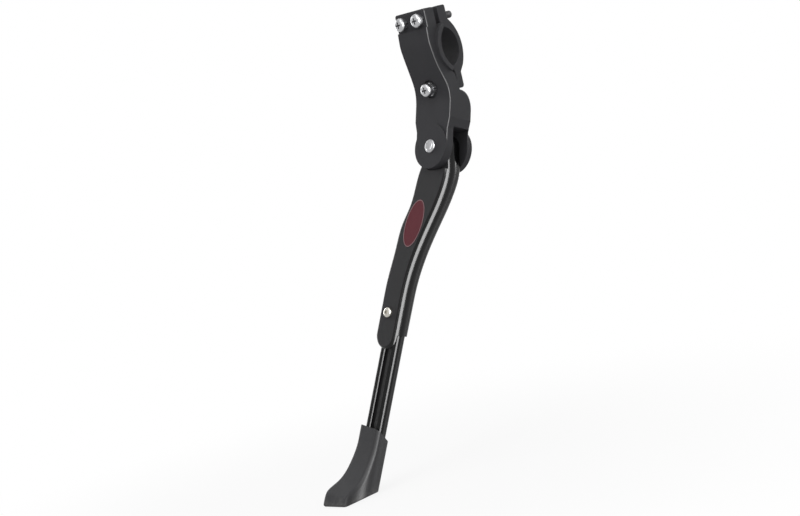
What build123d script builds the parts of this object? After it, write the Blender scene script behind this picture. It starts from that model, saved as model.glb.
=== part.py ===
"""Side-mounted bicycle kickstand with a stay clamp, a swinging leg and a sliding extension bar.

The origin is the middle of the stay opening. +X runs rearwards along the stay, +Y points in
towards the wheel and +Z is up, so the screws and the flat of the leg face -Y. The hinge has a
frame of its own: x to the rear, y up the bracket and z outwards along the pivot pin.
"""
import os
from math import cos, radians, sin, sqrt

from build123d import *

os.makedirs("parts", exist_ok=True)

# Stay opening and clamp, seen along the stay
stay_height = 29.0
liner_depth = 7.35
liner_wall = 3.2
liner_proud = 2.5
plate_depth = 11.4
plate_wall = 3.5
clamp_half_width = 15.0
flange_top = 29.0
flange_bottom = 16.0
flange_front = -14.2
flange_back = -5.3
plate_gap = 3.8
plate_flange_wall = 7.7
tail_front = 2.2
tail_wall = 5.6
tail_bottom = -30.0
tail_top = -19.0
tail_gap = 1.7
tail_round = 2.25
pad_gap = 0.4

# Front of the bracket, from the flange down to the hinge
brow_front = -15.4
belly_front = -15.7
belly_height = 2.0
bend_front = -13.0
bend_height = -12.4
waist_front = -10.0
waist_height = -26.3
hip_up = 30.0
hip_half_width = 17.7
flare_top = -6.0
flare_bottom = -38.0
shoulder_up = 26.5
shelf_slope = 0.2
shelf_reach = 1.4
shoulder_reach = 1.2
brow_slope = 0.1
edge_round = 1.0
back_round = 2.5
flange_round = 1.5

# Hinge
hinge_tilt = 21.0
hinge_out = 11.3
hinge_drop = 68.9
cheek_radius = 15.8
cheek_outer = 11.9
boss_proud = 0.7
slot_outer = 6.0
slot_inner = -8.0
back_outer = 9.8
back_boss = 12.5
slot_roof = 13.0
stop_bottom = -1.0
swing_gap = 0.3
cheek_gap = 0.6
neck_low = 11.5
neck_high = 19.0
pin_diameter = 8.0
pin_head_diameter = 9.6
pin_head_height = 1.2
pin_head_round = 0.95
pin_fit = 0.05

# Detent in the bracket above the leg's head
plunger_diameter = 6.0
plunger_length = 7.5
plunger_round = 2.0
plunger_fit = 0.1
spring_length = 10.5
spring_wire = 0.9
spring_turns = 5

# Leg, in the swing plane
head_radius = 10.5
leg_outer = 8.5
leg_inner = -7.5
shoulder_front = -16.0
shoulder_rear = 11.7
thigh_drop = 38.0
thigh_front = -23.7
thigh_rear = 3.5
knee_drop = 52.0
knee_front = -32.1
knee_rear = -5.2
calf_drop = 69.0
calf_front = -38.1
calf_rear = -15.6
sleeve_half_width = 9.6
sleeve_lead = 1.2
sleeve_front_wall = 3.0
sleeve_back_wall = 1.0
sleeve_top = -40.0
sleeve_end = -11.5
tongue_end = -0.5
leg_front_round = 1.8
leg_back_round = 3.0

# Extension bar, from a point on its axis where the sleeve's tongue ends
bar_lead = 46.0
bar_drop = 139.3
bar_lean = 13.0
bar_width = 14.0
bar_depth = 9.5
bar_round = 1.8
bar_fit = 0.15
bar_top = -50.0
bar_end = 82.0
cavity_top = -66.0
channel_width = 7.0
channel_depth = 3.0
channel_lead = 1.0

# Oval inlay at the leg's knee
oval_length = 35.0
oval_width = 17.0
oval_lean = 24.0
oval_depth = 0.6
oval_fit = 0.1

# Screws and washers
bolt_spacing = 16.6
bolt_height = 21.7
bolt_length = 32.0
tail_screw_length = 20.0
tail_screw_stand = 2.6
thread_diameter = 4.9
thread_fit = 0.05
clearance_diameter = 5.5
pan_diameter = 9.5
pan_height = 3.7
recess_span = 4.6
recess_slot = 1.1
recess_depth = 2.2
washer_diameter = 9.2
washer_bore = 5.2
washer_height = 1.3
washer_split = 0.9
recess_taper = 6.0
pan_round = 2.2
thread_chamfer = 0.55
seat_diameter = 13.0
seat_depth = 0.8
lock_drop = -26.0
lock_lead = 2.0
lock_diameter = 4.0
lock_head_diameter = 7.6
lock_head_height = 2.2
lock_hex = 2.5
lock_seat_diameter = 8.4
lock_socket_depth = 1.3
lock_head_round = 1.75

# Rubber foot: sizes across and out from the bar, and each point down from the one before
sole_height = 94.85225
collar_top = 60.5
collar_width = 18.6
collar_front = 7.6
collar_back = 6.2
rim_slant = 32.0
foot_fit = 0.1
ankle_down = 66.0
instep_out = 10.4
instep_down = 16.4
arch_out = 17.5
arch_down = 14.1
knuckle_out = 25.1
knuckle_down = 7.3
toe_out = 27.2
toe_down = 8.2
toe_front = -11.0
toe_rear = 14.2
foot_round = 3.0
sole_round = 1.5

# Frames of the hinge and of the bar
tilt = radians(hinge_tilt)
lean = radians(bar_lean)
hinge = Plane(origin=(0, -hinge_out, -hinge_drop), x_dir=(1, 0, 0), z_dir=(0, -cos(tilt), sin(tilt)))
bar_rear = hinge.x_dir * cos(lean) - hinge.y_dir * sin(lean)
bar_down = hinge.x_dir * -sin(lean) - hinge.y_dir * cos(lean)
bar_plane = Plane(origin=hinge.from_local_coords((-bar_lead, -bar_drop, 0)), x_dir=bar_rear, z_dir=bar_down)


def on_side(up, out):
    """A point of the hinge's frame, as seen in the bracket's side profile."""
    return (-hinge_out + up * sin(tilt) - out * cos(tilt), -hinge_drop + up * cos(tilt) + out * sin(tilt))


def along_bar(down, rear):
    """A point of the swing plane, given down the bar's axis and to the rear of it."""
    across = -bar_lead + rear * cos(lean) - down * sin(lean)
    up = -bar_drop - rear * sin(lean) - down * cos(lean)
    return (across, up)


# Arcs of the stay opening
stay_half = stay_height / 2
liner_radius = (stay_half**2 + liner_depth**2) / (2 * liner_depth)
liner_centre = liner_radius - liner_depth
seat_radius = liner_radius + liner_wall
plate_radius = (stay_half**2 + plate_depth**2) / (2 * plate_depth)
plate_centre = plate_depth - plate_radius
plate_front = flange_back + plate_gap
tail_land = tail_front - tail_gap
slot_middle = (slot_outer + slot_inner) / 2
stop_inner = head_radius + swing_gap
shoulder_drop = cheek_radius + cheek_gap
bore_depth = head_radius + swing_gap + plunger_length + spring_length - slot_roof
flange_plane = Plane(origin=(0, flange_front, bolt_height), x_dir=(1, 0, 0), z_dir=(0, -1, 0))
bore_plane = Plane(
    origin=hinge.from_local_coords((0, slot_roof, slot_middle)),
    x_dir=(1, 0, 0),
    z_dir=-hinge.y_dir,
)
waist_plane = Plane(origin=(0, waist_front, waist_height), x_dir=(1, 0, 0), z_dir=(0, -1, 0))


def seat_at(y):
    """Height of the liner's seat above the middle of the opening."""
    return sqrt(seat_radius**2 - (liner_centre - y) ** 2)


def plate_at(z):
    """Depth of the clamp plate's hollow at a height from the middle of the opening."""
    return plate_centre + sqrt(plate_radius**2 - z**2)


def side_edges(builder, facing):
    """The long side edges of a casting's front (facing -1) or back (facing 1)."""
    faces = builder.faces().filter_by(lambda face: facing * face.normal_at().Y > 0.8)
    return faces.edges().filter_by(lambda edge: abs(edge.center().X) > clamp_half_width - edge_round)


# Bracket: one casting, cut from its side profile by its front outlines
with BuildPart() as bracket:
    with BuildSketch(Plane.YZ.offset(-hip_half_width)):
        with BuildLine():
            Polyline(
                (brow_front, flange_bottom),
                (flange_front, flange_bottom),
                (flange_front, flange_top),
                (flange_back, flange_top),
                (flange_back, seat_at(flange_back)),
            )
            ThreePointArc(
                (flange_back, seat_at(flange_back)),
                (liner_centre - seat_radius, 0),
                (tail_land, -seat_at(tail_land)),
            )
            Line((tail_land, -seat_at(tail_land)), (tail_land, tail_bottom - pad_gap))
            Spline(
                (tail_land, tail_bottom - pad_gap),
                on_side(shoulder_up, -back_outer),
                tangents=[(1, -shelf_slope), (-sin(tilt), -cos(tilt))],
                tangent_scalars=[shelf_reach, shoulder_reach],
            )
            Polyline(
                on_side(shoulder_up, -back_outer),
                on_side(-cheek_radius, -back_outer),
                on_side(-cheek_radius, cheek_outer),
                on_side(hip_up, cheek_outer),
            )
            Spline(
                on_side(hip_up, cheek_outer),
                (waist_front, waist_height),
                (bend_front, bend_height),
                (belly_front, belly_height),
                (brow_front, flange_bottom),
                tangents=[(sin(tilt), cos(tilt)), (brow_slope, 1)],
            )
        make_face()
    extrude(amount=2 * hip_half_width)
    with BuildSketch(Plane.XZ):
        with BuildLine():
            Polyline((0, flange_top), (clamp_half_width, flange_top), (clamp_half_width, flare_top))
            Spline(
                (clamp_half_width, flare_top),
                (hip_half_width, flare_bottom),
                tangents=[(0, -1), (0, -1)],
            )
            Polyline((hip_half_width, flare_bottom), (hip_half_width, -2 * hinge_drop), (0, -2 * hinge_drop))
            mirror(about=Plane.YZ)
        make_face()
    extrude(amount=2 * hinge_drop, both=True, mode=Mode.INTERSECT)
    with BuildSketch(hinge):
        Circle(cheek_radius)
        with BuildLine():
            Polyline(
                (-cheek_radius, 0),
                (cheek_radius, 0),
                (cheek_radius, neck_low),
                (hip_half_width, neck_high),
                (hip_half_width, 2 * hinge_drop),
                (-hip_half_width, 2 * hinge_drop),
                (-hip_half_width, neck_high),
                (-cheek_radius, neck_low),
                close=True,
            )
        make_face()
    extrude(amount=2 * hinge_drop, both=True, mode=Mode.INTERSECT)
    fillet(side_edges(bracket, -1).filter_by(lambda edge: edge.center().Z > flange_bottom), edge_round)
    fillet(side_edges(bracket, -1).filter_by(lambda edge: edge.center().Z < flange_bottom), edge_round)
    fillet(side_edges(bracket, 1).filter_by(lambda edge: edge.center().Z < flare_bottom), back_round)
    fillet(bracket.edges().filter_by(Axis.X).group_by(Axis.Z)[-1], flange_round)
    with BuildSketch(hinge.offset(slot_outer)):
        Circle(cheek_radius)
    extrude(amount=cheek_outer + boss_proud - slot_outer)
    with BuildSketch(hinge.offset(slot_inner)):
        Circle(cheek_radius)
    extrude(amount=-back_boss - slot_inner)
    with BuildSketch(hinge.offset(slot_inner)):
        with BuildLine():
            Polyline(
                (-stop_inner, slot_roof),
                (2 * hip_half_width, slot_roof),
                (2 * hip_half_width, -2 * cheek_radius),
                (-2 * hip_half_width, -2 * cheek_radius),
                (-2 * hip_half_width, stop_bottom),
                (-stop_inner, stop_bottom),
                close=True,
            )
        make_face()
    extrude(amount=slot_outer - slot_inner, mode=Mode.SUBTRACT)
    with Locations(hinge):
        Hole(pin_diameter / 2 + pin_fit)
    with Locations(bore_plane):
        Hole(plunger_diameter / 2 + plunger_fit, depth=bore_depth)
    with BuildSketch(flange_plane):
        with GridLocations(bolt_spacing, 0, 2, 1):
            Circle(clearance_diameter / 2)
    extrude(amount=flange_front - flange_back, mode=Mode.SUBTRACT)
    with Locations(waist_plane):
        CounterBoreHole(clearance_diameter / 2, seat_diameter / 2, seat_depth)
bracket.part.label = "bracket"
export_step(bracket.part, "parts/bracket.step")

# Clamp plate: the back half of the clamp, with a flange above and a tail below
with BuildPart() as clamp_plate:
    with BuildSketch(Plane.YZ.offset(-clamp_half_width)):
        with BuildLine():
            Polyline(
                (plate_at(stay_half - pad_gap), stay_half - pad_gap),
                (plate_front, flange_bottom + flange_round),
                (plate_front, flange_top),
                (plate_front + plate_flange_wall, flange_top),
                (plate_front + plate_flange_wall, flange_bottom + 2 * flange_round),
            )
            ThreePointArc(
                (plate_front + plate_flange_wall, flange_bottom + 2 * flange_round),
                (plate_depth + plate_wall, -flange_round),
                (tail_front + tail_wall + plate_wall, -stay_half),
            )
            Polyline(
                (tail_front + tail_wall + plate_wall, -stay_half),
                (tail_front + tail_wall, tail_top),
                (tail_front + tail_wall, tail_bottom),
                (tail_front, tail_bottom),
                (tail_front, tail_top),
                (plate_at(stay_half - pad_gap), pad_gap - stay_half),
            )
            ThreePointArc(
                (plate_at(stay_half - pad_gap), pad_gap - stay_half),
                (plate_depth, 0),
                (plate_at(stay_half - pad_gap), stay_half - pad_gap),
            )
        make_face()
    extrude(amount=2 * clamp_half_width)
    fillet(clamp_plate.edges().filter_by(Axis.X).group_by(Axis.Z)[-1], flange_round)
    fillet(clamp_plate.edges().filter_by(Axis.X).group_by(Axis.Z)[0], tail_round)
    with BuildSketch(flange_plane):
        with GridLocations(bolt_spacing, 0, 2, 1):
            Circle(thread_diameter / 2 + thread_fit)
    extrude(amount=-4 * bolt_spacing, mode=Mode.SUBTRACT)
    with Locations(waist_plane):
        Hole(thread_diameter / 2 + thread_fit)
clamp_plate.part.label = "clamp_plate"
export_step(clamp_plate.part, "parts/clamp_plate.step")

# Rubber liner between the bracket's seat and the stay
with BuildPart() as stay_liner:
    with BuildSketch(Plane.YZ.offset(-clamp_half_width - liner_proud)):
        with BuildLine():
            lip = plate_front - pad_gap
            ThreePointArc((lip, seat_at(lip)), (liner_centre - seat_radius, 0), (lip, -seat_at(lip)))
            Line((lip, -seat_at(lip)), (0, -stay_half))
            ThreePointArc((0, -stay_half), (-liner_depth, 0), (0, stay_half))
            Line((0, stay_half), (lip, seat_at(lip)))
        make_face()
    extrude(amount=2 * (clamp_half_width + liner_proud))
stay_liner.part.label = "stay_liner"
export_step(stay_liner.part, "parts/stay_liner.step")


def pan_screw(length):
    """A cross-recess pan-head screw that points along -Z, with the underside of its head at z = 0."""
    with BuildPart() as screw:
        with BuildSketch():
            Circle(pan_diameter / 2)
        extrude(amount=pan_height)
        fillet(screw.edges().group_by(Axis.Z)[-1], pan_round)
        with BuildSketch():
            Circle(thread_diameter / 2)
        extrude(amount=-length)
        chamfer(screw.edges().group_by(Axis.Z)[0], thread_chamfer)
        with BuildSketch(Plane.XY.offset(pan_height)):
            Rectangle(recess_span, recess_slot)
            Rectangle(recess_slot, recess_span)
        extrude(amount=-recess_depth, taper=recess_taper, mode=Mode.SUBTRACT)
    return screw.part


def spring_washer():
    """A split spring washer that lies on z = 0."""
    with BuildPart() as washer:
        with BuildSketch():
            Circle(washer_diameter / 2)
            Circle(washer_bore / 2, mode=Mode.SUBTRACT)
            with Locations((washer_diameter / 2, 0)):
                Rectangle(washer_diameter, washer_split, mode=Mode.SUBTRACT)
        extrude(amount=washer_height)
    return washer.part


bolt_places = [flange_plane * Pos(side * bolt_spacing / 2, 0, 0) for side in (-1, 1)]
with BuildPart() as bolt_washers:
    with Locations(bolt_places):
        add(spring_washer())
bolt_washers.part.label = "bolt_washers"
export_step(bolt_washers.part, "parts/bolt_washers.step")

with BuildPart() as clamp_bolts:
    with Locations([place * Pos(0, 0, washer_height) for place in bolt_places]):
        add(pan_screw(bolt_length))
clamp_bolts.part.label = "clamp_bolts"
export_step(clamp_bolts.part, "parts/clamp_bolts.step")

tail_place = waist_plane * Pos(0, 0, -seat_depth)
with BuildPart() as tail_washer:
    with Locations(tail_place):
        add(spring_washer())
tail_washer.part.label = "tail_washer"
export_step(tail_washer.part, "parts/tail_washer.step")

with BuildPart() as tail_screw:
    with Locations(tail_place * Pos(0, 0, washer_height + tail_screw_stand)):
        add(pan_screw(tail_screw_length))
tail_screw.part.label = "tail_screw"
export_step(tail_screw.part, "parts/tail_screw.step")

# Pivot pin: a rivet with a factory head behind and a peened end in front
with BuildPart() as pivot_pin:
    with BuildSketch(hinge.offset(-back_boss)):
        Circle(pin_diameter / 2)
    extrude(amount=back_boss + cheek_outer + boss_proud)
    with BuildSketch(hinge.offset(cheek_outer + boss_proud)):
        Circle(pin_head_diameter / 2)
    extrude(amount=pin_head_height)
    with BuildSketch(hinge.offset(-back_boss)):
        Circle(pin_head_diameter / 2)
    extrude(amount=-pin_head_height)
    rims = pivot_pin.edges().filter_by(GeomType.CIRCLE).sort_by(Axis(hinge.origin, hinge.z_dir))
    fillet([rims[0], rims[-1]], pin_head_round)
pivot_pin.part.label = "pivot_pin"
export_step(pivot_pin.part, "parts/pivot_pin.step")

# Detent: a plunger that a coil spring presses towards the leg's head
plunger_tip = head_radius + swing_gap
with BuildPart() as detent_plunger:
    with BuildSketch(bore_plane.offset(slot_roof - plunger_tip)):
        Circle(plunger_diameter / 2)
    extrude(amount=-plunger_length)
    fillet(detent_plunger.edges().sort_by(Axis(bore_plane.origin, bore_plane.z_dir))[-1], plunger_round)
detent_plunger.part.label = "detent_plunger"
export_step(detent_plunger.part, "parts/detent_plunger.step")

coil_radius = (plunger_diameter - spring_wire) / 2
coil_height = spring_length - spring_wire
coil_plane = bore_plane.offset(slot_roof - plunger_tip - plunger_length - spring_length + spring_wire / 2)
with BuildPart() as detent_spring:
    with BuildLine(coil_plane):
        coil = Helix(coil_height / spring_turns, coil_height, coil_radius, direction=coil_plane.z_dir)
    with BuildSketch(Plane(origin=coil @ 0, z_dir=coil % 0)):
        Circle(spring_wire / 2)
    sweep(path=coil, is_frenet=True)
detent_spring.part.label = "detent_spring"
export_step(detent_spring.part, "parts/detent_spring.step")

# Leg: a casting with a hinge tongue above and a sleeve for the bar below
sleeve_outer = bar_depth / 2 + bar_fit + sleeve_front_wall
sleeve_inner = -bar_depth / 2 - bar_fit - sleeve_back_wall
sleeve_front = -sleeve_lead - sleeve_half_width
sleeve_rear = sleeve_half_width - sleeve_lead
tongue_start = tongue_end - sleeve_half_width
leg_length = head_radius + bar_drop + tongue_end
face_up = hinge.y_dir * leg_length + hinge.z_dir * (leg_outer - sleeve_outer)
leg_face = Plane(
    origin=hinge.from_local_coords((0, head_radius, leg_outer)),
    x_dir=(1, 0, 0),
    z_dir=hinge.x_dir.cross(face_up),
)
side_plane = Plane(origin=hinge.from_local_coords((0, head_radius, 0)), x_dir=hinge.z_dir, z_dir=hinge.x_dir)
knee_middle = (knee_front + knee_rear) / 2
lock_plane = Plane(
    origin=hinge.from_local_coords((*along_bar(lock_drop, -lock_lead), sleeve_outer)),
    x_dir=bar_rear,
    z_dir=hinge.z_dir,
)
with BuildPart() as leg:
    with BuildSketch(hinge.offset(2 * leg_inner)):
        with BuildLine():
            ThreePointArc((head_radius, 0), (0, head_radius), (-head_radius, 0))
            Spline(
                (-head_radius, 0),
                (shoulder_front, -shoulder_drop),
                (thigh_front, -thigh_drop),
                (knee_front, -knee_drop),
                (calf_front, -calf_drop),
                along_bar(sleeve_top, sleeve_front),
                tangents=[(0, -1), (-sin(lean), -cos(lean))],
            )
            Line(along_bar(sleeve_top, sleeve_front), along_bar(tongue_start, sleeve_front))
            ThreePointArc(
                along_bar(tongue_start, sleeve_front),
                along_bar(tongue_end, -sleeve_lead),
                along_bar(tongue_start, sleeve_rear),
            )
            Line(along_bar(tongue_start, sleeve_rear), along_bar(sleeve_top, sleeve_rear))
            Spline(
                along_bar(sleeve_top, sleeve_rear),
                (calf_rear, -calf_drop),
                (knee_rear, -knee_drop),
                (thigh_rear, -thigh_drop),
                (shoulder_rear, -shoulder_drop),
                (head_radius, 0),
                tangents=[(sin(lean), cos(lean)), (0, 1)],
            )
        make_face()
    extrude(amount=2 * (leg_outer - leg_inner))
    with BuildSketch(side_plane.offset(-2 * bar_lead)):
        with BuildLine():
            Polyline(
                (leg_inner, 0),
                (leg_outer, 0),
                (sleeve_outer, leg_length),
                (sleeve_inner, leg_length),
                close=True,
            )
        make_face()
    extrude(amount=4 * bar_lead, mode=Mode.INTERSECT)
    fillet(leg.faces().sort_by(Axis(hinge.origin, hinge.z_dir))[0].edges(), leg_back_round)
    fillet(leg.faces().sort_by(Axis(hinge.origin, hinge.z_dir))[-1].edges(), leg_front_round)
    with BuildSketch(hinge.offset(slot_outer - swing_gap)):
        Circle(shoulder_drop)
        with Locations((0, -shoulder_drop)):
            Rectangle(2 * shoulder_drop, 2 * shoulder_drop, align=(Align.MIN, Align.MIN))
    extrude(amount=leg_outer, mode=Mode.SUBTRACT)
    with BuildSketch(bar_plane.offset(cavity_top)):
        RectangleRounded(bar_width + 2 * bar_fit, bar_depth + 2 * bar_fit, bar_round + bar_fit)
    extrude(amount=2 * bar_end, mode=Mode.SUBTRACT)
    with BuildSketch(bar_plane.offset(sleeve_end)):
        with Locations((0, bar_depth / 2 + bar_fit)):
            Rectangle(4 * bar_width, 4 * bar_depth, align=(Align.CENTER, Align.MAX))
    extrude(amount=2 * sleeve_half_width, mode=Mode.SUBTRACT)
    with Locations(hinge):
        Hole(pin_diameter / 2 + pin_fit)
    with BuildSketch(leg_face):
        with Locations(Location((knee_middle, -knee_drop - head_radius), -oval_lean)):
            Ellipse(oval_width / 2, oval_length / 2)
    extrude(amount=-oval_depth, mode=Mode.SUBTRACT)
    with BuildSketch(lock_plane):
        Circle(lock_seat_diameter / 2)
    extrude(amount=leg_outer, mode=Mode.SUBTRACT)
    with BuildSketch(lock_plane):
        Circle(lock_diameter / 2)
    extrude(amount=-sleeve_outer, mode=Mode.SUBTRACT)
leg.part.label = "leg"
export_step(leg.part, "parts/leg.step")

with BuildPart() as oval_badge:
    with BuildSketch(leg_face.offset(-oval_depth)):
        with Locations(Location((knee_middle, -knee_drop - head_radius), -oval_lean)):
            Ellipse(oval_width / 2 - oval_fit, oval_length / 2 - oval_fit)
    extrude(amount=oval_depth)
oval_badge.part.label = "oval_badge"
export_step(oval_badge.part, "parts/oval_badge.step")

# Lock screw: its tip stops the bar at any length
lock_reach = sleeve_outer - bar_depth / 2 + channel_depth - swing_gap
with BuildPart() as lock_screw:
    with BuildSketch(lock_plane):
        Circle(lock_head_diameter / 2)
    extrude(amount=lock_head_height)
    fillet(lock_screw.edges().sort_by(Axis(lock_plane.origin, lock_plane.z_dir))[-1], lock_head_round)
    with BuildSketch(lock_plane):
        Circle(lock_diameter / 2)
    extrude(amount=-lock_reach)
    with BuildSketch(lock_plane.offset(lock_head_height)):
        RegularPolygon(lock_hex / 2, 6, major_radius=False)
    extrude(amount=-lock_socket_depth, mode=Mode.SUBTRACT)
lock_screw.part.label = "lock_screw"
export_step(lock_screw.part, "parts/lock_screw.step")

# Extension bar: a drawn section with a channel along its front
with BuildPart() as extension_bar:
    with BuildSketch(bar_plane.offset(bar_top)):
        RectangleRounded(bar_width, bar_depth, bar_round)
        with Locations((-channel_lead, bar_depth / 2)):
            Rectangle(channel_width, 2 * channel_depth, mode=Mode.SUBTRACT)
    extrude(amount=bar_end - bar_top)
extension_bar.part.label = "extension_bar"
export_step(extension_bar.part, "parts/extension_bar.step")

# Rubber foot: a collar round the bar whose front sweeps out into a toe
foot_side = Plane(origin=bar_plane.origin, x_dir=hinge.z_dir, z_dir=bar_rear)
rim = radians(rim_slant)
rim_plane = Plane(
    origin=bar_plane.from_local_coords((0, 0, collar_top)),
    x_dir=bar_rear,
    z_dir=bar_down * cos(rim) + hinge.z_dir * sin(rim),
)
sole_plane = Plane(origin=(0, 0, bar_plane.origin.Z - sole_height))
instep = ankle_down + instep_down
arch = instep + arch_down
knuckle = arch + knuckle_down
toe = knuckle + toe_down
with BuildPart() as rubber_foot:
    with BuildSketch(foot_side.offset(-2 * collar_width)):
        with BuildLine():
            Line((collar_front, 0), (collar_front, ankle_down))
            Spline(
                (collar_front, ankle_down),
                (instep_out, instep),
                (arch_out, arch),
                (knuckle_out, knuckle),
                (toe_out, toe),
                tangents=[(0, 1), (0, 1)],
            )
            Polyline(
                (toe_out, toe),
                (toe_out, 2 * toe),
                (-collar_back, 2 * toe),
                (-collar_back, 0),
                (collar_front, 0),
            )
        make_face()
    extrude(amount=4 * collar_width)
    with BuildSketch(bar_plane):
        with BuildLine():
            Polyline(
                (-collar_width / 2, -collar_back),
                (collar_width / 2, -collar_back),
                (toe_rear, toe_out),
                (toe_front, toe_out),
                close=True,
            )
        make_face()
    extrude(amount=2 * toe, mode=Mode.INTERSECT)
    corners = rubber_foot.edges().filter_by(lambda edge: abs((edge % 0.5).dot(bar_rear)) < 0.5)
    fillet(corners.filter_by(lambda edge: edge.length > ankle_down / 4), foot_round)
    split(bisect_by=sole_plane)
    split(bisect_by=rim_plane)
    fillet(rubber_foot.faces().sort_by(Axis.Z)[0].edges(), sole_round)
    with BuildSketch(bar_plane):
        RectangleRounded(bar_width + 2 * foot_fit, bar_depth + 2 * foot_fit, bar_round + foot_fit)
    extrude(amount=bar_end, mode=Mode.SUBTRACT)
rubber_foot.part.label = "rubber_foot"
export_step(rubber_foot.part, "parts/rubber_foot.step")
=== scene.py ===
# %% [markdown]
# # A bicycle kickstand, dressed in Blender
# The solids of the stand come from the imported model, so every size and place is already right.
# This lesson sets up a camera and a small studio, gives each solid a finish of its own, and adds
# the fine pieces that only matter to the eye: the rim of the badge, the threads, the lip of the
# peened pin, and a coil in place of the spring. Lengths are in metres throughout.

# %% Load the imported model
import math

import bpy
from mathutils import Matrix, Vector


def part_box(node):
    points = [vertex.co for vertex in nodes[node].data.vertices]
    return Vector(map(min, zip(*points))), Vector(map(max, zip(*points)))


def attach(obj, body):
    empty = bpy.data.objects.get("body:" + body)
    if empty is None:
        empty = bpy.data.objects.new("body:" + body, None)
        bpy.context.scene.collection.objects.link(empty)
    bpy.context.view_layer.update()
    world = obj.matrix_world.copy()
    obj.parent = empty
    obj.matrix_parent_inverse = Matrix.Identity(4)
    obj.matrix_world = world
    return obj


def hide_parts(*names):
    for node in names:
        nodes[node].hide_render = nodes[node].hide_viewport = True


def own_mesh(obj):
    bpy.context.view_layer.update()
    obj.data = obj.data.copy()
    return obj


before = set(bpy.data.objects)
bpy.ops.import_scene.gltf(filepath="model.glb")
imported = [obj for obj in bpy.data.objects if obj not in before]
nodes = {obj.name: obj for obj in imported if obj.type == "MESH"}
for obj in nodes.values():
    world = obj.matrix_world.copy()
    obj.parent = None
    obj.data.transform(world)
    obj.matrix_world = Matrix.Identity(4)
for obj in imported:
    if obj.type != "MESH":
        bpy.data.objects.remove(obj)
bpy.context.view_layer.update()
print("solids:", ", ".join(sorted(nodes)))

# %% [markdown]
# The photograph was taken with a long lens from a little over a metre away, level with the middle
# of the leg, and it is turned by some 13 degrees. A constraint could aim the camera, but it would
# keep the picture upright. A camera looks along its own -Z, so here its matrix is built from three
# unit vectors, and the two that lie in the picture are rolled round the third.

# %% Camera
camera_azimuth = math.radians(48.036)
camera_height = math.radians(5.667)
camera_roll = math.radians(13.269)
camera_distance = 1.180
camera_target = Vector((0.022278, -0.094620, -0.129267))
focal_length_mm = 80.11
sensor_width_mm = 36
nearest_seen = 0.01


def toward(azimuth, height):
    """Unit vector from the object to a place round it: azimuth 0 is in front, 90 to the rear."""
    flat = math.cos(height)
    return Vector((math.sin(azimuth) * flat, -math.cos(azimuth) * flat, math.sin(height)))


back = toward(camera_azimuth, camera_height)
level = Vector((math.cos(camera_azimuth), math.sin(camera_azimuth), 0))
upright = back.cross(level)
right = math.cos(camera_roll) * level - math.sin(camera_roll) * upright
up = math.sin(camera_roll) * level + math.cos(camera_roll) * upright
lens = bpy.data.cameras.new("photo_camera")
lens.lens = focal_length_mm
lens.sensor_width = sensor_width_mm
lens.clip_start = nearest_seen
photo_camera = bpy.data.objects.new("photo_camera", lens)
bpy.context.collection.objects.link(photo_camera)
turn = Matrix((right, up, back)).transposed().to_4x4()
photo_camera.matrix_world = Matrix.Translation(camera_target + back * camera_distance) @ turn
bpy.context.scene.camera = photo_camera
print("camera at", [round(v, 3) for v in photo_camera.matrix_world.translation])

# %% [markdown]
# A finish is a net of shader nodes. They could be linked one by one, as in the node editor, but
# sums are easier to read. A Wire is one output socket, and adding or multiplying wires makes the
# Math nodes behind the scenes, also where a plain number comes first, as in 1 - mask.

# %% Wires
class Wire:
    """An output socket that can be added, multiplied and compared like a number."""

    def __init__(self, tree, socket):
        self.tree = tree
        self.socket = socket

    def join(self, operation, first, second):
        return self.tree.node("ShaderNodeMath", {"operation": operation}, {0: first, 1: second})

    def __add__(self, other):
        return self.join("ADD", self, other)

    def __radd__(self, other):
        return self.join("ADD", other, self)

    def __sub__(self, other):
        return self.join("SUBTRACT", self, other)

    def __rsub__(self, other):
        return self.join("SUBTRACT", other, self)

    def __mul__(self, other):
        return self.join("MULTIPLY", self, other)

    def __rmul__(self, other):
        return self.join("MULTIPLY", other, self)

    def __truediv__(self, other):
        return self.join("DIVIDE", self, other)

    def __rtruediv__(self, other):
        return self.join("DIVIDE", other, self)

    def __pow__(self, other):
        return self.join("POWER", self, other)

    def __rpow__(self, other):
        return self.join("POWER", other, self)

    def most(self, other):
        return self.join("MAXIMUM", self, other)


print("wires add, subtract, multiply, divide and raise to a power")

# %% [markdown]
# A Tree makes any other node: its type, then its settings, then what its sockets are given. The
# short methods stand for the few nodes that nearly every finish uses. Patterns read the point or
# the normal on the piece itself, so they stay where they are on it when the stand folds.

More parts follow.
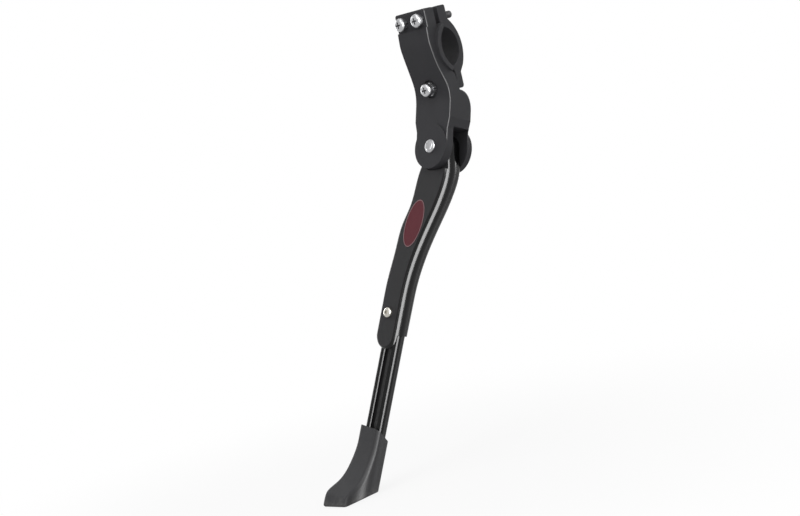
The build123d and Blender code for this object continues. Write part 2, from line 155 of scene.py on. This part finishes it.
# %% Trees
class Tree:
    """A node tree that makes nodes from their type, their settings and their sockets' values."""

    def __init__(self, owner):
        owner.use_nodes = True
        self.tree = owner.node_tree
        self.tree.nodes.clear()

    def node(self, kind, settings=None, sockets=None, out=0):
        made = self.tree.nodes.new(kind)
        for name, value in (settings or {}).items():
            setattr(made, name, value)
        for name, value in (sockets or {}).items():
            if isinstance(value, Wire):
                self.tree.links.new(value.socket, made.inputs[name])
            else:
                made.inputs[name].default_value = value
        return Wire(self, made.outputs[out])

    def place(self):
        """The point on the piece, in metres, in the shared frame."""
        return self.node("ShaderNodeTexCoord", out="Object")

    def normal(self):
        """The piece's own normal at that point."""
        return self.node("ShaderNodeTexCoord", out="Normal")

    def axes(self, vector):
        """The x, y and z of a vector as three wires."""
        split = self.node("ShaderNodeSeparateXYZ", {}, {0: vector})
        return [Wire(self, socket) for socket in split.socket.node.outputs]

    def vector(self, operation, first, second, socket=1, out=0):
        settings = {"operation": operation}
        return self.node("ShaderNodeVectorMath", settings, {0: first, socket: second}, out)

    def dot(self, vector, axis):
        """How far a vector reaches along an axis, as a number."""
        return self.vector("DOT_PRODUCT", vector, axis, out="Value")

    def noise(self, scale, detail=2.0, rough=0.5, vector=None):
        """Cloudy values from 0 to 1, with about scale blobs to the metre."""
        where = vector or self.place()
        sockets = {"Vector": where, "Scale": scale, "Detail": detail, "Roughness": rough}
        return self.node("ShaderNodeTexNoise", {}, sockets)

    def soft(self, value, low, high):
        """Zero below low, one above high and smooth between."""
        sockets = {"Value": value, "From Min": low, "From Max": high}
        return self.node("ShaderNodeMapRange", {"interpolation_type": "SMOOTHSTEP"}, sockets)

    def blend(self, factor, first, second):
        """A colour between two others."""
        sockets = {0: factor, 6: first, 7: second}
        return self.node("ShaderNodeMix", {"data_type": "RGBA"}, sockets, out=2)

    def bump(self, height, strength, depth, under=None):
        """A normal lifted by a height of at most depth metres, over another one if there is one."""
        sockets = {"Height": height, "Strength": strength, "Distance": depth}
        if under:
            sockets["Normal"] = under
        return self.node("ShaderNodeBump", {}, sockets)

    def end(self, kind, shader):
        last = self.tree.nodes.new(kind)
        self.tree.links.new(shader.socket, last.inputs["Surface"])


print("trees make nodes from their type, settings and sockets")

# %% [markdown]
# Paint, rubber, zinc and enamel all end in the Principled shader. Simpler shaders could be mixed by
# hand for each, but this one has the colour, roughness, metal and normal of any of them on sockets
# of its own, and other programs know it too.

# %% Finish helpers
def finish_of(name):
    """A new material and its tree."""
    material = bpy.data.materials.new(name)
    return material, Tree(material)


def surface(tree, **sockets):
    """Ends a tree in one surface shader, with sockets named as Base_Color, Roughness and so on."""
    named = {name.replace("_", " "): value for name, value in sockets.items()}
    tree.end("ShaderNodeOutputMaterial", tree.node("ShaderNodeBsdfPrincipled", {}, named))


print("finishes end in one surface shader")

# %% [markdown]
# The picture is a catalogue shot on a white ground. The ground could be lit until it is white, but
# that light would wash over the black paint too. So the room is white only where the camera or a
# reflection sees it, and dimmer as a source of light.

# %% White room
white = (1, 1, 1, 1)
room_light = 0.55


def seen_by(tree, *rays):
    """One for what the camera sees, or a ray of these kinds, and zero for light on the stand."""
    seen = path = tree.node("ShaderNodeLightPath", out="Is Camera Ray")
    for ray in rays:
        seen = seen.most(Wire(tree, path.socket.node.outputs[ray]))
    return seen


world = bpy.data.worlds.new("white_room")
bpy.context.scene.world = world
sky = Tree(world)
glow = room_light + (1 - room_light) * seen_by(sky, "Is Glossy Ray", "Is Transmission Ray")
room = sky.node("ShaderNodeBackground", {}, {"Color": white, "Strength": glow})
sky.end("ShaderNodeOutputWorld", room)
print("the room lights the stand at", room_light)

# %% [markdown]
# The floor is white to the camera in the same way. A floor that only glows would swallow the
# shadow, and the stand would seem to hang in the air. So round the foot a little ordinary paint is
# mixed in, which keeps a soft shadow there.

# %% Floor
floor_white = (0.9, 0.9, 0.9, 1)
floor_size = 8
floor_gap = 0.0003
shadow_x, shadow_y = -0.07, -0.1
shadow_near, shadow_far = 0.10, 0.45
shadow_glow = 0.86
floor_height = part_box("rubber_foot")[0][2] - floor_gap
bpy.ops.object.select_all(action="DESELECT")
bpy.ops.mesh.primitive_plane_add(size=floor_size, location=(0, 0, floor_height))
floor = bpy.context.object
floor.name = "floor"
floor_paint, tree = finish_of("floor_white")
x, y = tree.axes(tree.place())[:2]
away = ((x - shadow_x) ** 2.0 + (y - shadow_y) ** 2.0) ** 0.5
clear = tree.soft(away, shadow_near, shadow_far)
share = seen_by(tree, "Is Glossy Ray") * (shadow_glow + (1 - shadow_glow) * clear)
glow = tree.node("ShaderNodeEmission", {}, {"Color": white, "Strength": 1.0})
paint = tree.node("ShaderNodeBsdfDiffuse", {}, {"Color": floor_white})
mixed = tree.node("ShaderNodeMixShader", {}, {0: share, 1: paint, 2: glow})
tree.end("ShaderNodeOutputMaterial", mixed)
floor.data.materials.append(floor_paint)
print("floor at", round(floor_height, 4))

# %% [markdown]
# Black paint shows little but what it reflects. Bare bulbs would leave dots in it, so four tall
# panels are set up all round, and draw the bright lines down its rounded edges. They light only the
# gloss, because as plain light they would turn the black to grey. Two soft panels, one in front and
# one overhead, do light the paint, at a plain level.

# %% Lamps
lamp_middle = Vector((0.0, -0.05, -0.13))


def lamp(name, azimuth, height, distance, width, length, radiance, gloss_only):
    """A soft panel that faces the stand; its power follows from how bright its face looks."""
    panel = bpy.data.lights.new(name, "AREA")
    panel.shape = "RECTANGLE"
    panel.size = width
    panel.size_y = length
    panel.energy = radiance * math.pi * width * length
    holder = bpy.data.objects.new(name, panel)
    bpy.context.collection.objects.link(holder)
    out = toward(math.radians(azimuth), math.radians(height))
    turn = out.to_track_quat("Z", "Y").to_matrix().to_4x4()
    holder.matrix_world = Matrix.Translation(lamp_middle + out * distance) @ turn
    holder.visible_diffuse = not gloss_only


# Name, azimuth and height in degrees, distance, width, length, radiance and gloss alone or not.
panels = (
    ("edge_panel_rear", 66, 4, 1.5, 0.95, 1.7, 22, True),
    ("edge_panel_front", -88, 6, 1.4, 0.35, 1.5, 7, True),
    ("edge_panel_behind", 164, 4, 1.4, 0.22, 1.6, 8, True),
    ("edge_panel_back", 222, 8, 1.4, 0.35, 1.5, 7, True),
    ("key_panel", 10, 38, 1.4, 0.5, 0.5, 3.0, False),
    ("top_panel", 30, 75, 1.2, 0.5, 0.7, 3.0, False),
)
for panel in panels:
    lamp(*panel)
print(len(panels), "lamps")

# %% [markdown]
# The bracket and the plate behind it are cast and powder coated. Powder melts into a skin with a
# fine grain and a slow waviness. A picture of it would have to be unwrapped onto the casting, and
# noise needs none of that: two sizes of it lift the surface a little, and a slow one clouds the
# colour and the gloss. The rounded edges are smoother, and a painted highlight makes them paler.
# They are the faces whose normal points partly sideways and partly to the front or back.

# %% Powder coat
powder_dark = (0.0150, 0.0148, 0.0172, 1)
powder_pale = (0.0270, 0.0268, 0.0305, 1)
powder_edge_highlight = (0.16, 0.16, 0.165, 1)
powder_coat, tree = finish_of("powder_coat")
grain = tree.noise(2600, 2.0, 0.6)
wave = tree.noise(420, 1.0)
cloud = tree.noise(45, 3.0)
lift = tree.bump(grain, 0.35, 0.00006, tree.bump(wave, 0.25, 0.0002))
nx, ny = tree.axes(tree.normal())[:2]
edge = tree.soft(nx * nx * (1 - nx * nx), 0.10, 0.22) * tree.soft(ny * ny, 0.08, 0.25)
tint = tree.blend(cloud * 0.7 + grain * 0.3, powder_dark, powder_pale)
# Painted highlight: the rounded edges are blended towards a pale colour.
tint = tree.blend(edge * (0.4 + 0.6 * cloud), tint, powder_edge_highlight)
rough = 0.60 + 0.10 * cloud + 0.06 * grain - 0.36 * edge
surface(tree, Base_Color=tint, Roughness=rough, Normal=lift, Specular_IOR_Level=0.18)
print("powder coat for the bracket and the plate")

# %% [markdown]
# The leg, the bar and the foot have softly rolled sides, down which a lamp draws one bright line.
# The solids have plain sides between their roundings. Rolling the sides in the mesh would change
# the sizes, so the finish leans their normals instead: outwards at the front and inwards at the
# back. All three face outwards along the hinge, so how far a normal points that way tells a side
# from a face. The normal is the piece's own, and so it turns with the leg.

# %% Rolled sides
hinge_tilt = math.radians(21)
hinge_point = Vector((0, -0.0113, -0.0689))
outward = Vector((0, -math.cos(hinge_tilt), math.sin(hinge_tilt)))
upward = outward.cross(Vector((1, 0, 0)))


def sides_of(tree, low, high):
    """The normal, how far it points outwards, and a mask that is one on the sides."""
    normal = tree.normal()
    facing = tree.dot(normal, outward)
    return normal, facing, 1 - tree.soft(facing * facing, low, high)


def rolled(tree, normal, middle, half_depth, lean, keep_level):
    """The normal of a side that is rolled about its middle, and held level by a share."""
    shift = tree.vector("SUBTRACT", tree.place(), middle)
    from_middle = tree.dot(shift, outward) / half_depth
    leaning = tree.vector("SCALE", outward, from_middle * lean, "Scale")
    dropping = tree.vector("SCALE", upward, tree.dot(normal, upward) * keep_level, "Scale")
    bent = tree.vector("SUBTRACT", tree.vector("ADD", normal, leaning), dropping)
    settings = {"vector_type": "NORMAL", "convert_from": "OBJECT", "convert_to": "WORLD"}
    return tree.node("ShaderNodeVectorTransform", settings, {0: bent})


print("outward along the hinge is", [round(v, 3) for v in outward])

# %% [markdown]
# The leg is painted too, but only its flat face is rubbed to a satin. The sides stay glossy and
# nearly black. Two materials could be split along the edge of the face, but the edge is rounded,
# so one material that goes over softly from satin to gloss looks more like a rubbed casting.

# %% Leg coat
leg_gloss = (0.0012, 0.0012, 0.0014, 1)
satin_dark = (0.0060, 0.0058, 0.0068, 1)
satin_pale = (0.0120, 0.0117, 0.0132, 1)
leg_half_depth = 0.008
leg_set_out = 0.0005
leg_middle = hinge_point + outward * leg_set_out
leg_coat, tree = finish_of("leg_coat")
normal, facing, side = sides_of(tree, 0.02, 0.5)
flat = tree.soft(facing, 0.93, 0.995)
grain = tree.noise(3200, 2.0, 0.6)
wave = tree.noise(300, 1.0)
cloud = tree.noise(60, 3.0)
tint = tree.blend(flat, leg_gloss, tree.blend(cloud, satin_dark, satin_pale))
rough = 0.17 + 0.06 * cloud + flat * (0.46 + 0.06 * grain)
lift = rolled(tree, normal, leg_middle, leg_half_depth, side * 1.05, side * 0.85)
lift = tree.bump(grain, 0.2, 0.00005, tree.bump(wave, 0.10, 0.0002, lift))
surface(tree, Base_Color=tint, Roughness=rough, Normal=lift, Specular_IOR_Level=0.25)
print("leg coat, satin on the face and gloss on the sides")

# %% [markdown]
# The bar that slides in the leg is drawn to shape and then painted in gloss black. Drawing leaves
# faint lines along it. A wave texture would make them too even, so the lines are noise that is
# turned to the bar and stretched a hundredfold along it. The front is a little less glossy.

# %% Bar coat
bar_dark = (0.0010, 0.0010, 0.0012, 1)
bar_pale = (0.0028, 0.0028, 0.0032, 1)
bar_lean = math.radians(13)
bar_down = Vector((
    -math.sin(bar_lean),
    -math.sin(hinge_tilt) * math.cos(bar_lean),
    -math.cos(hinge_tilt) * math.cos(bar_lean),
))
bar_point = Vector((-0.046, -0.0612, -0.19895))
bar_half_depth = 0.00475


def turned(tree, origin, axis, stretch=(1, 1, 1)):
    """The place in a frame whose Z is the given axis, with a stretch along each axis."""
    shift = tree.vector("SUBTRACT", tree.place(), origin)
    angles = axis.to_track_quat("Z", "Y").inverted().to_euler()
    sockets = {"Vector": shift, "Rotation": angles, "Scale": stretch}
    return tree.node("ShaderNodeMapping", {}, sockets)


bar_coat, tree = finish_of("bar_coat")
lines = tree.noise(1800, 2.0, 0.6, turned(tree, bar_point, bar_down, (1, 1, 0.01)))
cloud = tree.noise(80, 3.0)
normal, facing, side = sides_of(tree, 0.02, 0.5)
face = tree.soft(facing, 0.9, 0.99)
tint = tree.blend(cloud, bar_dark, bar_pale)
rough = 0.10 + 0.08 * lines + 0.05 * cloud + 0.3 * face
lift = rolled(tree, normal, bar_point, bar_half_depth, side * 1.4, side * 0.6)
lift = tree.bump(lines, 0.12, 0.00006, lift)
surface(tree, Base_Color=tint, Roughness=rough, Normal=lift, Specular_IOR_Level=0.2)
print("bar coat with drawn lines")

# %% [markdown]
# There are two rubbers: the liner that grips the stay, a grey matt strip, and the foot, a darker
# moulding. Moulded rubber has a fine tooth, which as geometry would take millions of faces, so it
# is a bump. The foot is scuffed paler towards the ground, in patches, where it meets the road.

# %% Rubbers
liner_dark = (0.028, 0.028, 0.031, 1)
liner_pale = (0.046, 0.046, 0.050, 1)
foot_dark = (0.0135, 0.0134, 0.0152, 1)
foot_pale = (0.0250, 0.0248, 0.0277, 1)
foot_dust = (0.10, 0.098, 0.095, 1)
scuff_low, scuff_high = floor_height + 0.001, floor_height + 0.009
foot_half_depth = 0.012
foot_along, foot_set_out = 0.085, 0.004
foot_middle = bar_point + bar_down * foot_along + outward * foot_set_out

liner_rubber, tree = finish_of("liner_rubber")
tooth = tree.noise(2400, 3.0, 0.65)
tint = tree.blend(tree.noise(120, 3.0), liner_dark, liner_pale)
rough = 0.62 + 0.2 * tooth
lift = tree.bump(tooth, 0.5, 0.0001)
surface(tree, Base_Color=tint, Roughness=rough, Normal=lift, Specular_IOR_Level=0.14)

foot_rubber, tree = finish_of("foot_rubber")
tooth = tree.noise(2000, 3.0, 0.65)
cloud = tree.noise(90, 4.0, 0.6)
height = tree.axes(tree.place())[2]
scuff = (1 - tree.soft(height, scuff_low, scuff_high)) * tree.soft(cloud, 0.42, 0.62)
normal, facing, side = sides_of(tree, 0.05, 0.6)
tint = tree.blend(cloud, foot_dark, foot_pale)
tint = tree.blend(scuff * 0.5, tint, foot_dust)
rough = 0.62 + 0.14 * tooth - 0.2 * side
lift = rolled(tree, normal, foot_middle, foot_half_depth, side * 1.1, side * 0.6)
lift = tree.bump(tooth, 0.4, 0.0001, lift)
surface(tree, Base_Color=tint, Roughness=rough, Normal=lift, Specular_IOR_Level=0.32)
print("two rubbers")

# %% [markdown]
# The screws and washers are zinc plated, bright and a little cloudy. The cross in each head gets
# painted shade, and the clamp bolts are blackened from the bracket backwards. Each could be a
# material of its own on chosen faces. But every solid has one material, so both are masks,
# from the distance to the screw's axis and the depth behind the front of its head.

# %% Zinc plate
zinc_dark = (0.30, 0.305, 0.315, 1)
zinc_pale = (0.52, 0.52, 0.53, 1)
recess_painted_shade = (0.05, 0.05, 0.052, 1)
bolt_black = (0.03, 0.03, 0.032, 1)
recess_inner, recess_outer = 0.0022, 0.0026
recess_lip, recess_deep = 0.0003, 0.0008
black_fade = 0.002
bolt_across, bolt_height, bolt_front, bolt_black_from = 0.0083, 0.0217, -0.0192, 0.001
tail_across, tail_height, tail_front, beyond_the_tip = 0.0, -0.0263, -0.0168, 0.05


def plated(name, across, height, head_front, black_from):
    """Zinc plate with painted shade in the cross of a screw's head, blackened beyond a depth."""
    material, tree = finish_of(name)
    cloud = tree.noise(700, 3.0)
    x, y, z = tree.axes(tree.place())
    aside = tree.node("ShaderNodeMath", {"operation": "ABSOLUTE"}, {0: x}) - across
    from_axis = (aside * aside + (z - height) * (z - height)) ** 0.5
    behind = tree.soft(y, head_front + recess_lip, head_front + recess_deep)
    recess = (1 - tree.soft(from_axis, recess_inner, recess_outer)) * behind
    black = tree.soft(y, black_from, black_from + black_fade)
    tint = tree.blend(cloud, zinc_dark, zinc_pale)
    # Painted shade: the cross in each head is blended towards a dark colour.
    tint = tree.blend(recess * 0.85, tint, recess_painted_shade)
    tint = tree.blend(black, tint, bolt_black)
    rough = 0.22 + 0.16 * cloud + 0.1 * black
    lift = tree.bump(tree.noise(5200, 2.0), 0.12, 0.00004)
    surface(tree, Base_Color=tint, Metallic=1 - 0.6 * black, Roughness=rough, Normal=lift)
    return material


zinc = plated("zinc_plate", tail_across, tail_height, tail_front, beyond_the_tip)
bolt_zinc = plated("bolt_zinc", bolt_across, bolt_height, bolt_front, bolt_black_from)
print("zinc for the tail screw and the washers, and for the clamp bolts")

# %% [markdown]
# The lock screw is a touch warmer than zinc, and the spring is bright drawn wire. On pieces this
# small one cloud of noise is enough for colour, gloss and lift, so a function makes such finishes.
# The hinge pin is turned on a lathe and then peened, so rings round its axis catch the light. The
# wave texture makes rings round Z, and the pattern is turned until its Z is the pin.

# %% Steels
lock_dark, lock_pale = (0.38, 0.365, 0.33, 1), (0.60, 0.58, 0.53, 1)
wire_dark, wire_pale = (0.26, 0.26, 0.27, 1), (0.42, 0.42, 0.43, 1)
pin_dark, pin_pale = (0.27, 0.27, 0.28, 1), (0.46, 0.46, 0.47, 1)


def clouded(name, scale, dark, pale, rough, rougher, strength, depth, metal=1.0):
    """A finish whose colour, gloss and lift all follow one cloud of noise."""
    material, tree = finish_of(name)
    cloud = tree.noise(scale, 3.0)
    tint = tree.blend(cloud, dark, pale)
    lift = tree.bump(cloud, strength, depth)
    surface(tree, Base_Color=tint, Metallic=metal, Roughness=rough + rougher * cloud, Normal=lift)
    return material


lock_steel = clouded(
    "lock_steel", 900, lock_dark, lock_pale,
    rough=0.18, rougher=0.14, strength=0.08, depth=0.00005,
)
spring_steel = clouded(
    "spring_steel", 1500, wire_dark, wire_pale,
    rough=0.25, rougher=0.2, strength=0.1, depth=0.00004,
)

pin_steel, tree = finish_of("pin_steel")
cloud = tree.noise(600, 3.0)
rings = tree.node("ShaderNodeTexWave", {"wave_type": "RINGS", "rings_direction": "Z"}, {
    "Vector": turned(tree, hinge_point, outward), "Scale": 900, "Distortion": 1.5, "Detail": 2.0,
})
tint = tree.blend(cloud, pin_dark, pin_pale)
lift = tree.bump(rings, 0.10, 0.00004, tree.bump(cloud, 0.35, 0.0002))
surface(tree, Base_Color=tint, Metallic=1.0, Roughness=0.24 + 0.14 * cloud, Normal=lift)
print("lock steel, spring steel and pin steel")

# %% [markdown]
# The oval badge is a plain dull maroon enamel, a little uneven in colour, with a raised edge that
# shows as a pale line. The line could be painted on by a mask, but a thin ring stays sharp close
# up. So the line gets its own material here, pale as a painted highlight, and the ring follows
# further down.

# %% Badge enamel
maroon_dark, maroon_pale = (0.082, 0.011, 0.018, 1), (0.124, 0.020, 0.029, 1)
rim_highlight_dark, rim_highlight_pale = (0.16, 0.075, 0.085, 1), (0.24, 0.13, 0.14, 1)
badge_enamel, tree = finish_of("badge_enamel")
cloud = tree.noise(160, 4.0, 0.6)
tint = tree.blend(cloud, maroon_dark, maroon_pale)
rough = 0.58 + 0.1 * cloud
lift = tree.bump(tree.noise(2600, 2.0), 0.12, 0.00005)
surface(tree, Base_Color=tint, Roughness=rough, Normal=lift, Specular_IOR_Level=0.15)
# Painted highlight: the ring's enamel is pale where light would catch the raised edge.
rim_highlight_enamel = clouded(
    "rim_highlight_enamel", 700, rim_highlight_dark, rim_highlight_pale,
    rough=0.3, rougher=0.15, strength=0.1, depth=0.00005, metal=0.0,
)
print("badge enamel and its rim")

# %% [markdown]
# Each solid has arrived with one plain material in its slot. The mesh isn't touched: a better
# finish is put into the slot that is there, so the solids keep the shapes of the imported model.

# %% Finishes onto the solids
finishes = {
    "bracket": powder_coat, "clamp_plate": powder_coat, "stay_liner": liner_rubber,
    "clamp_bolts": bolt_zinc, "bolt_washers": zinc, "tail_screw": zinc, "tail_washer": zinc,
    "pivot_pin": pin_steel, "detent_plunger": pin_steel, "detent_spring": spring_steel,
    "leg": leg_coat, "oval_badge": badge_enamel, "lock_screw": lock_steel,
    "extension_bar": bar_coat, "rubber_foot": foot_rubber,
}
for name, finish in finishes.items():
    for slot in nodes[name].material_slots:
        slot.material = finish
print(len(finishes), "solids finished")

# %% [markdown]
# Small pieces are easiest to model flat at the origin, where a radius is a radius, and are then
# moved to their place. The place is put into the mesh itself and not left on the object, so every
# object stays at the origin like the solids, and its pattern doesn't slide.

# %% Piece helpers
def start(name, finish):
    """Names the fresh primitive, gives it its finish and opens it for editing."""
    piece = bpy.context.object
    piece.name = name
    piece.data.name = name
    piece.data.materials.append(finish)
    bpy.ops.object.mode_set(mode="EDIT")
    return piece


def settle(piece, matrix, body, smooth):
    """Turns the faces outwards, smooths below an angle, moves the mesh and hangs it on a body."""
    bpy.ops.mesh.select_all(action="SELECT")
    bpy.ops.mesh.normals_make_consistent(inside=False)
    bpy.ops.object.mode_set(mode="OBJECT")
    bpy.ops.object.shade_smooth_by_angle(angle=math.radians(smooth))
    piece.data.transform(piece.matrix_world)
    piece.matrix_world = Matrix.Identity(4)
    piece.data.transform(matrix)
    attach(piece, body)
    print(piece.name, "has", len(piece.data.polygons), "faces")


def frame_at(origin, across, out):
    """A matrix whose X is across, whose Z is out and whose origin is the given point."""
    out = Vector(out).normalized()
    across = (Vector(across) - Vector(across).dot(out) * out).normalized()
    turn = Matrix((across, out.cross(across), out)).transposed()
    return Matrix.Translation(origin) @ turn.to_4x4()


rearward = (1, 0, 0)
print("pieces start flat and settle in their place")

# %% [markdown]
# The badge's rim is an oval ring. A curve with a bevel could draw it, but that gives a round wire,
# and the line is flat. So a circle is filled and scaled to the oval, its face is inset to the width
# of the line, the middle is deleted, and the ring is extruded. It lies on the badge's own face,
# which is read from the solid.

# %% Badge rim
rim_margin = 0.00008
rim_width = 0.00055
rim_height = 0.00012
rim_sunk = 0.00004
nearly_outward = 0.98
badge = nodes["oval_badge"].data
front = [f for f in badge.polygons if f.normal.dot(outward) > nearly_outward]
face_out = sum((f.normal * f.area for f in front), Vector()).normalized()
face_points = [badge.vertices[v].co for v in {v for f in front for v in f.vertices}]
low = Vector([min(p[i] for p in face_points) for i in range(3)])
high = Vector([max(p[i] for p in face_points) for i in range(3)])
oval_middle = (low + high) / 2
oval_long = max((p - oval_middle for p in face_points), key=lambda p: p.length)
oval_width = min((p - oval_middle).length for p in face_points)
bpy.ops.object.select_all(action="DESELECT")
bpy.ops.mesh.primitive_circle_add(vertices=96, radius=1, fill_type="NGON")
rim = start("badge_rim", rim_highlight_enamel)
bpy.ops.transform.resize(value=(oval_long.length - rim_margin, oval_width - rim_margin, 1))
bpy.ops.mesh.inset(thickness=rim_width, depth=0)
bpy.ops.mesh.delete(type="FACE")
bpy.ops.mesh.select_all(action="SELECT")
bpy.ops.mesh.extrude_region_move(TRANSFORM_OT_translate={"value": (0, 0, rim_height)})
on_badge = frame_at(oval_middle - face_out * rim_sunk, oval_long, face_out)
settle(rim, on_badge, "leg", smooth=40)

# %% [markdown]
# The screws of the solids have plain shanks. A bump would show lines there but no teeth in the
# outline, so the threads are modelled: a small diamond is swept up a helix by the Screw modifier,
# and both ends are closed. They stand on the far ends of the two clamp bolts, beyond where the
# plate slides, and between the head and the washer of the screw that is backed out.

# %% Screw threads
thread_radius = 0.0023
thread_tooth = 0.0003
thread_pitch = 0.0008
thread_corners, thread_steps = 4, 28
bolt_thread_from, bolt_turns = 0.0119, 5
tail_thread_from, tail_turns = -0.0126, 2
inward = (0, 1, 0)


def helix(name, finish, corners, thickness, radius, pitch, turns, steps):
    """A closed ridge or wire of a small round section, wound up Z from the origin."""
    bpy.ops.object.select_all(action="DESELECT")
    bpy.ops.mesh.primitive_circle_add(
        vertices=corners, radius=thickness, location=(radius, 0, 0), rotation=(math.pi / 2, 0, 0),
    )
    bpy.ops.object.transform_apply(location=True, rotation=True, scale=True)
    sweep = bpy.context.object.modifiers.new("sweep", "SCREW")
    sweep.axis = "Z"
    sweep.screw_offset = pitch
    sweep.iterations = turns
    sweep.steps = steps
    sweep.render_steps = steps
    bpy.ops.object.modifier_apply(modifier="sweep")
    wound = start(name, finish)
    bpy.ops.mesh.select_all(action="SELECT")
    bpy.ops.mesh.remove_doubles(threshold=0.000001)
    bpy.ops.mesh.fill_holes(sides=0)
    return wound


def thread(name, foot, turns, finish):
    """A ridge of M5 thread that starts at foot and runs inwards along the screw."""
    ridge = helix(
        name, finish,
        thread_corners, thread_tooth, thread_radius, thread_pitch, turns, thread_steps,
    )
    settle(ridge, frame_at(Vector(foot), rearward, inward), "bracket", smooth=30)


for end, across in (("front", -bolt_across), ("rear", bolt_across)):
    foot = (across, bolt_thread_from, bolt_height)
    thread("bolt_thread_" + end, foot, bolt_turns, bolt_zinc)
thread("tail_thread", (tail_across, tail_thread_from, tail_height), tail_turns, zinc)

# %% [markdown]
# The pin was closed with a hammer, which leaves a raised lip round a shallow dish, not quite in the
# middle. A lathe profile would be too true. A filled circle is extruded into the lip, then inset
# and pushed down twice, the second time a little to one side. It sits on the flat of the head.

# %% Peened pin
peen_radius = 0.0036
lip_height, lip_taper, lip_width = 0.00028, 0.86, 0.0006
dish_drop, dish_width = 0.00016, 0.0009
dent_aside, dent_drop = 0.0001, 0.00007
pin_reach = 0.01378
pin_head = hinge_point + outward * pin_reach
bpy.ops.object.select_all(action="DESELECT")
bpy.ops.mesh.primitive_circle_add(vertices=48, radius=peen_radius, fill_type="NGON")
peen = start("pin_peen", pin_steel)
bpy.ops.mesh.extrude_region_move(TRANSFORM_OT_translate={"value": (0, 0, lip_height)})
bpy.ops.transform.resize(value=(lip_taper, lip_taper, 1))
bpy.ops.mesh.inset(thickness=lip_width, depth=0)
bpy.ops.transform.translate(value=(0, 0, -dish_drop))
bpy.ops.mesh.inset(thickness=dish_width, depth=0)
bpy.ops.transform.translate(value=(dent_aside, 0, -dent_drop))
settle(peen, frame_at(pin_head, rearward, outward), "bracket", smooth=25)

# %% [markdown]
# The coil that presses the plunger down is hidden in the bracket. The solid spring would do to look
# at, but it can't shorten as the plunger goes in. So a coil of the scene stands for it, and the
# solid is hidden. It is wound by the same helix.

# %% Detent coil
coil_wire = 0.00045
coil_radius = 0.00255
coil_rise = 0.0096
coil_turns = 5
coil_corners, coil_steps = 12, 32
spring_low, spring_high = (Vector(corner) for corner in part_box("detent_spring"))
coil_middle = (spring_low + spring_high) / 2
coil_foot = coil_middle - upward * (coil_rise / 2)
coil_pitch = coil_rise / coil_turns
coil = helix(
    "detent_coil", spring_steel,
    coil_corners, coil_wire, coil_radius, coil_pitch, coil_turns, coil_steps,
)
settle(coil, frame_at(coil_foot, rearward, upward), "bracket", smooth=30)
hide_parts("detent_spring")
# The spring is 10.5 mm long at rest, and 9 mm when the plunger is pressed in.
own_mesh(coil)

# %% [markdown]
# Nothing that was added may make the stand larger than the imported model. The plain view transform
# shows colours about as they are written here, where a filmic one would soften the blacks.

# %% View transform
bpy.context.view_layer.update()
scene = bpy.context.scene
scene.view_settings.view_transform = "Standard"
